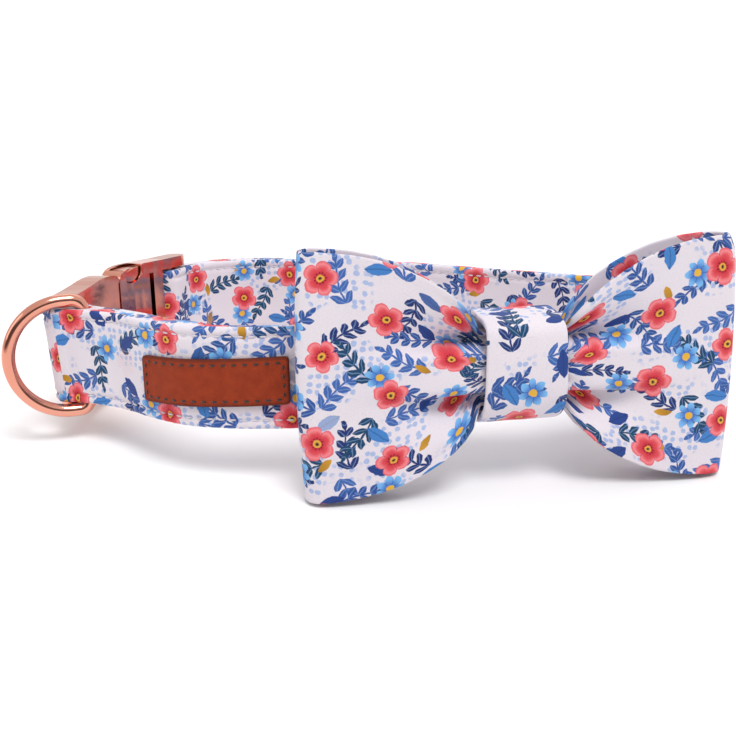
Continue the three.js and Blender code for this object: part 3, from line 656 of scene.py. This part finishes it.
def strap_stitches():
    runs = []
    pitch, length = 2.75, 1.75
    for side, col, sgn in ((0, 1, 1), (1, 2, -1)):
        d = 9.0
        while d < PATH.length - 7:
            for z in (SEAM, STRAP_W - SEAM):
                pts = []
                for q in (d, d + length):
                    t = PATH.tangent(q)
                    n = sgn * np.array([t[1], -t[0]])
                    dd = q if side == 0 else PATH.length * 2 - q
                    p = PATH.at(q) + n * (thick(q, col) - inset(z) + ripple(dd, z, side) + 0.10)
                    pts.append((p[0], p[1], pinch(p, z)))
                runs.append((pts[0], pts[1], (n[0], n[1], 0)))
            d += pitch
    return stitch_mesh("strap_stitching", runs, 0.24, THREAD)


# ---- label
LABEL_H, LABEL_T, LABEL_GAP = 11.6, 1.3, 0.12
X0, X1 = -54.4, -18.4


def label_range():
    ds = np.arange(0, PATH.length / 2, 0.1)
    xs = np.array([strap_point(d, thick(d, 1))[0] for d in ds])
    return ds[xs < X0][-1], ds[xs < X1][-1]


L0, L1 = label_range()


def label_z(f):
    return 11.5 - 0.8 + 1.7 * f


def build_label():
    nu, r = 80, 0.9
    cross = [-1, -0.93, -0.80, -0.55, -0.25, 0.0, 0.25, 0.55, 0.80, 0.93, 1]
    half = LABEL_H / 2
    verts, faces, uvs, rim = [], [], [], []
    length = L1 - L0
    us = np.concatenate([[0, 0.15, 0.4, 0.9], np.linspace(1.5, length - 1.5, nu), [length - 0.9, length - 0.4, length - 0.15, length]])
    edge = 0.32
    prof = []                       # closed section: front, edge, back
    for c in cross:
        prof.append((c, 1.0))
    for c in cross[::-1]:
        prof.append((c, 0.0))
    m = len(prof)
    for q in us:
        e = min(q, length - q)
        pull = r - math.sqrt(max(r * r - (r - e) ** 2, 0)) if e < r else 0.0
        d = L0 + q
        t = PATH.tangent(d)
        n = np.array([t[1], -t[0]])
        for c, front in prof:
            h = (half - pull) * c
            ez = half - pull - abs(h)
            em = min(e, ez)
            drop = edge - math.sqrt(max(edge ** 2 - (edge - em) ** 2, 0)) if em < edge else 0.0
            seam = 0.10 * math.exp(-((min(e, half - abs(h)) - 1.35) / 0.35) ** 2)
            off = thick(d, 1) + LABEL_GAP + (LABEL_T - drop - seam if front else drop * 0.6)
            p = PATH.at(d) + n * off
            verts.append((p[0], p[1], label_z(q / length) + h))
            rim.append(min(e, half - abs(h)) if front else 0.0)
    nn = len(us)
    for i in range(nn - 1):
        for j in range(m):
            j2 = (j + 1) % m
            faces.append((i * m + j, (i + 1) * m + j, (i + 1) * m + j2, i * m + j2))
            uvs.append(((us[i], prof[j][0] * half), (us[i + 1], prof[j][0] * half), (us[i + 1], prof[j2][0] * half), (us[i], prof[j2][0] * half)))
    for i in (0, nn - 1):
        f = [i * m + j for j in range(m)]
        faces.append(tuple(f if i else f[::-1]))
        uvs.append(tuple((us[i], prof[j][0] * half) for j in range(m)))
    o = make("label_leather", verts, faces, LEATHER, uvs)
    a = o.data.attributes.new("rim", "FLOAT", "POINT")
    a.data.foreach_set("value", np.array(rim, dtype=np.float32))
    recalc(o)
    return o


def label_stitches():
    length = L1 - L0
    ins, runs = 1.35, []

    def pt(q, h):
        d = L0 + q
        t = PATH.tangent(d)
        n = np.array([t[1], -t[0]])
        p = PATH.at(d) + n * (thick(d, 1) + LABEL_GAP + LABEL_T - 0.06)
        return (p[0], p[1], label_z(q / length) + h), (n[0], n[1], 0)

    half = LABEL_H / 2 - ins
    count = 14
    step = (length - 2 * ins) / count
    for k in range(count):
        for h in (half, -half):
            a, out = pt(ins + step * (k + 0.24), h)
            b, _ = pt(ins + step * (k + 0.76), h)
            runs.append((a, b, out))
    rows_ = 4
    step = 2 * half / rows_
    for k in range(rows_):
        for q in (ins, length - ins):
            a, out = pt(q, -half + step * (k + 0.24))
            b, _ = pt(q, -half + step * (k + 0.76))
            runs.append((a, b, out))
    return stitch_mesh("label_stitching", runs, 0.27, THREAD_DARK, 0.7)


# ---- D-ring
def build_d_ring():
    path = []
    leg = D_REACH - D_HALF
    for i in range(9):
        a = math.pi + math.pi / 2 * i / 8
        path.append((D_CORNER + D_CORNER * math.cos(a), -D_HALF + D_CORNER + D_CORNER * math.sin(a)))
    for i in range(61):
        a = -math.pi / 2 + math.pi * i / 60
        path.append((leg + D_HALF * math.cos(a), D_HALF * math.sin(a)))
    for i in range(9):
        a = math.pi / 2 + math.pi / 2 * i / 8
        path.append((D_CORNER + D_CORNER * math.cos(a), D_HALF - D_CORNER + D_CORNER * math.sin(a)))
    for i in range(1, 12):
        path.append((0, D_HALF - D_CORNER - 2 * (D_HALF - D_CORNER) * i / 12))
    n, m = len(path), 24
    dx, dy = math.cos(D_DIR), math.sin(D_DIR)
    verts = []
    for i in range(n):
        p, q, o = path[i], path[(i + 1) % n], path[i - 1]
        tx, tz = q[0] - o[0], q[1] - o[1]
        ln = math.hypot(tx, tz)
        tx, tz = tx / ln, tz / ln
        for j in range(m):
            a = 2 * math.pi * j / m
            r, w = D_WIRE * math.cos(a), D_WIRE * math.sin(a)
            l = p[0] + tz * r
            verts.append((D_BAR[0] + dx * l - dy * w, D_BAR[1] + dy * l + dx * w, STRAP_W / 2 + p[1] - tx * r))
    faces, uvs = tube_faces(n, m, lambda i: i * 1.0, lambda j: j * 0.45)
    o = make("d_ring_wire", verts, faces, METAL, uvs)
    recalc(o)
    return o


# ---- buckle: the CAD shape with its edges rounded
def rounded_copy(node, name, width):
    src = frame["nodes"][node]
    me = src.data.copy()
    me.name = name
    o = bpy.data.objects.new(name, me)
    o.matrix_world = src.matrix_world.copy()
    bpy.context.scene.collection.objects.link(o)
    bm = bmesh.new()
    bm.from_mesh(me)
    bmesh.ops.remove_doubles(bm, verts=bm.verts, dist=2e-6)
    bmesh.ops.dissolve_degenerate(bm, dist=2e-5, edges=bm.edges)
    bmesh.ops.recalc_face_normals(bm, faces=bm.faces)
    for f in bm.faces:
        f.smooth = True
    bm.to_mesh(me)
    bm.free()
    me.materials.clear()
    me.materials.append(METAL)
    b = o.modifiers.new("edges", "BEVEL")
    b.width = width
    b.segments = 3
    b.limit_method = "ANGLE"
    b.angle_limit = math.radians(35)
    b.use_clamp_overlap = True
    b.harden_normals = False
    w = o.modifiers.new("shade", "WEIGHTED_NORMAL")
    w.keep_sharp = True
    return o


# ---- bow
def bow_place(a, b, z):
    c, s = math.cos(BOW_YAW), math.sin(BOW_YAW)
    return (BOW_X + a * c - b * s, BOW_Y + a * s + b * c, z)


def bow_point(sign, k, back, psi, t):
    h = rows(BOW, 1, k)
    zeta = t * h
    end = BOW_END - 1.3 * t * t
    if sign > 0 and t > 0.8:
        end -= 1.6 * ((t - 0.8) / 0.2) ** 2
    flat = (BOW_END - FOLD_R) * end / BOW_END
    if psi is not None:
        f, g = rows(BOW, 2, 49), rows(BOW, 3, 49)
        mid, w = (f + g) / 2, (g - f) / 2
        z = BOW_Z + t * rows(BOW, 1, 50)
        return bow_place(sign * (flat + (end - flat) * math.sin(psi)), mid + (1 if back else -1) * w * math.cos(psi), z)
    b = rows(BOW, 3 if back else 2, k)
    depth, width = rows(BOW, 4, k), rows(BOW, 5, k)
    at = 6.5 + (0.35 if zeta < 0 else 0.0) * sign + 0.03 * (k - 14)
    frm = abs(zeta) - at
    steep = 1.15 + 0.05 * max(k - 13, 0)
    dip = 1.22 * depth * (math.exp(-(abs(frm) / steep) ** 2.6) if frm < 0 else math.exp(-(frm / (width * 1.9)) ** 2.4))
    # fine gathers that fan out of the knot and fade
    fade = math.exp(-(max(k - 10, 0) / 8.5) ** 2)
    outer = min(max((abs(t) - 0.52) / 0.2, 0), 1)
    gather = fade * (0.62 * math.sin(t * 25.0 + sign * 1.1) * outer + 0.25 * math.sin(t * 15.0 + 0.7 * sign) * (1 - outer))
    # soft unevenness of the panel
    soft = 0.35 * math.sin(k * 0.13 + t * 2.1 * sign) * math.sin((k - 8) / 44 * math.pi) if 8 < k < 52 else 0.0
    curl = -0.5 * max(abs(t) - 0.82, 0) / 0.18 * min(max((k - 14) / 12, 0), 1) * (0 if back else 1)
    if back:
        b = b - 0.12 * dip + 0.35 * gather + 0.5 * soft
    else:
        b = b + dip + gather + soft + curl * 0.6
    return bow_place(sign * k * end / BOW_END, b, BOW_Z + zeta)


def build_bow():
    flats = [0, 2.5, 5, 7.5, 9.4, 10.2, 10.9, 11.6, 12.4, 13.2, 14.1, 15.1, 16.2, 17.4, 18.7, 20.1, 21.6, 23.2, 25, 27, 29.2, 31.6, 34.2, 37, 39.8, 42.4, 44.8, 47]
    folds = [math.radians(v) for v in (0, 13, 26, 39, 52, 65, 78)]
    def half(sign, back, outward):
        seq = [(sign, k, back, None) for k in flats] + [(sign, 49, back, psi) for psi in folds]
        return seq if outward else seq[::-1]
    loop = [(-1, 49, False, math.pi / 2)] + half(-1, False, False) + half(1, False, True)[1:]
    loop += [(1, 49, False, math.pi / 2)] + half(1, True, False) + half(-1, True, True)[1:]
    nt = 84
    ts = [-1 + 2 * j / nt for j in range(nt + 1)]
    verts = [bow_point(s, k, back, psi, t) for s, k, back, psi in loop for t in ts]
    # length along the cloth, measured near its edge where it isn't gathered
    P = np.array(verts).reshape(len(loop), nt + 1, 3)
    along = [0.0]
    for i in range(len(loop)):
        along.append(along[-1] + max(np.linalg.norm(P[(i + 1) % len(loop), nt // 2] - P[i, nt // 2]), 0.2))
    faces, uvs = [], []
    n, m = len(loop), nt + 1
    for i in range(n):
        i2 = (i + 1) % n
        for j in range(nt):
            faces.append((i * m + j, i2 * m + j, i2 * m + j + 1, i * m + j + 1))
            v0, v1 = ts[j] * 29.6, ts[j + 1] * 29.6
            uvs.append(((along[i], v0), (along[i + 1], v0), (along[i + 1], v1), (along[i], v1)))
    o = make("bow_cloth", verts, faces, CLOTH_BOW, uvs)
    recalc(o)
    s = o.modifiers.new("thick", "SOLIDIFY")
    s.thickness = 0.0012
    s.offset = 0
    s.use_even_offset = True
    s.thickness_clamp = 0.9
    s.use_rim = True
    d = o.modifiers.new("smooth", "SUBSURF")
    d.levels = d.render_levels = 1
    return o, along[-1]


def build_knot():
    path = Path(spline(KNOT, True), True)
    n, cuts = 96, [-1, -0.94, -0.82, -0.66, -0.48, -0.3, -0.14, 0, 0.14, 0.3, 0.48, 0.66, 0.82, 0.94, 1]
    m = len(cuts)
    verts = []
    for i in range(n):
        d = path.length * i / n
        b, z = path.at(d)
        q0, q1 = path.at((d - 0.4) % path.length), path.at((d + 0.4) % path.length)
        t = (q1 - q0) / np.linalg.norm(q1 - q0)
        nb, nz = -t[1], t[0]
        for c in cuts:
            bulge = (0.45 * (1 - c * c) if b < -3 else 0.0)
            # lengthwise creases where the band is drawn together
            crease = 0.16 * math.sin(c * 7.0 + 0.8) * math.exp(-((z - 25) / 5) ** 2) + 0.18 * math.sin(c * 6.0) * math.exp(-((z - 4.5) / 4) ** 2)
            fold = -0.28 * math.exp(-((abs(c) - 1) / 0.10) ** 2)
            o_ = bulge + crease + fold
            w = KNOT_W / 2 * (1 + 0.03 * ((14.6 - z) / 12) * (1 if b < 0 else 0))
            verts.append(bow_place(c * w, b + nb * o_ * (1 if nb < 0 else 1), z + nz * o_ * 0.3))
    faces, uvs = [], []
    for i in range(n):
        i2 = (i + 1) % n
        for j in range(m - 1):
            faces.append((i * m + j, i2 * m + j, i2 * m + j + 1, i * m + j + 1))
            u0, u1 = path.length * i / n, path.length * (i + 1) / n
            v0, v1 = cuts[j] * KNOT_W / 2, cuts[j + 1] * KNOT_W / 2
            uvs.append(((v0, u0), (v0, u1), (v1, u1), (v1, u0)))
    o = make("knot_cloth", verts, faces, CLOTH_KNOT, uvs)
    recalc(o)
    s = o.modifiers.new("thick", "SOLIDIFY")
    s.thickness = 0.0015
    s.offset = 0
    s.use_rim = True
    d = o.modifiers.new("smooth", "SUBSURF")
    d.levels = d.render_levels = 1
    return o, path.length


strap = build_strap()
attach(strap, "collar"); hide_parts("strap")
stitches = strap_stitches()
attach(stitches, "collar")
label = build_label()
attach(label, "collar"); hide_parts("leather_label")
lab_st = label_stitches()
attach(lab_st, "collar")
ring = build_d_ring()
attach(ring, "ring"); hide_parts("d_ring")
male = rounded_copy("buckle_male", "buckle_male_part", 0.0004)
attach(male, "collar"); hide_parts("buckle_male")
female = rounded_copy("buckle_female", "buckle_female_part", 0.0004)
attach(female, "collar"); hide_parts("buckle_female")
bow, bow_len = build_bow()
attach(bow, "collar"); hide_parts("bow")
knot, knot_len = build_knot()
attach(knot, "collar"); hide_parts("knot_band")


# ------------------------------------------------------------------ floor and light
def stage_and_light():
    bpy.ops.mesh.primitive_plane_add(size=120.0, location=(0, 0, -0.0002))
    floor = bpy.context.active_object
    floor.name = "floor"
    T = Tree("floor")
    pos = T.node("ShaderNodeTexCoord").outputs["Object"]
    T.put(T.bsdf.inputs["Base Color"], T.mix(T.noise(pos, 3.0), (0.90, 0.90, 0.905, 1), (0.93, 0.93, 0.935, 1)))
    T.bsdf.inputs["Roughness"].default_value = 0.85
    floor.data.materials.append(T.mat)

    world_ = bpy.data.worlds.new("studio")
    bpy.context.scene.world = world_
    world_.use_nodes = True
    nt = world_.node_tree
    bg = nt.nodes["Background"]
    tex = nt.nodes.new("ShaderNodeTexCoord")
    parts = nt.nodes.new("ShaderNodeSeparateXYZ")
    nt.links.new(tex.outputs["Generated"], parts.inputs[0])

    def band(src, pts, op="SMOOTHSTEP"):
        n = nt.nodes.new("ShaderNodeMapRange")
        n.interpolation_type = op
        nt.links.new(src, n.inputs[0])
        for sck, v in zip(list(n.inputs)[1:5], pts):
            sck.default_value = v
        return n.outputs[0]

    def times(p, q):
        n = nt.nodes.new("ShaderNodeMath")
        n.operation = "MULTIPLY"
        nt.links.new(p, n.inputs[0])
        nt.links.new(q, n.inputs[1])
        return n.outputs[0]

    wall = times(band(parts.outputs[1], (-0.50, -0.30, 1.0, 0.0)), times(band(parts.outputs[2], (0.02, 0.10, 0.0, 1.0)), band(parts.outputs[2], (0.42, 0.62, 1.0, 0.0))))
    mixer = nt.nodes.new("ShaderNodeMix")
    mixer.data_type = "RGBA"
    nt.links.new(wall, mixer.inputs[0])
    mixer.inputs[6].default_value = (1.0, 1.0, 1.0, 1)
    mixer.inputs[7].default_value = (0.16, 0.15, 0.16, 1)
    nt.links.new(mixer.outputs[2], bg.inputs["Color"])
    bg.inputs["Strength"].default_value = 0.80

    def area(name, loc, target, size, power, colour=(1, 1, 1)):
        l = bpy.data.lights.new(name, "AREA")
        l.shape = "RECTANGLE"
        l.size, l.size_y = size
        l.energy = power
        l.color = colour
        o = bpy.data.objects.new(name, l)
        o.location = loc
        o.rotation_euler = (Vector(target) - Vector(loc)).to_track_quat("-Z", "Y").to_euler()
        bpy.context.scene.collection.objects.link(o)

    sun = bpy.data.lights.new("sun", "SUN")
    sun.energy = 1.75
    sun.angle = math.radians(24)
    so = bpy.data.objects.new("sun", sun)
    so.rotation_euler = (Vector((0, 0, 0)) - Vector((0.22, -0.42, 1.0))).to_track_quat("-Z", "Y").to_euler()
    bpy.context.scene.collection.objects.link(so)
    area("left", (-0.8, -0.25, 0.45), (-0.05, 0, 0.02), (0.5, 0.5), 0.8)
    area("back", (0.0, 0.8, 0.75), (0, 0, 0.02), (0.9, 0.4), 0.8)
    vs = bpy.context.scene.view_settings
    vs.view_transform = "Standard"
    vs.look = "None"
    vs.exposure = 0.0
    vs.gamma = 1.0


stage_and_light()
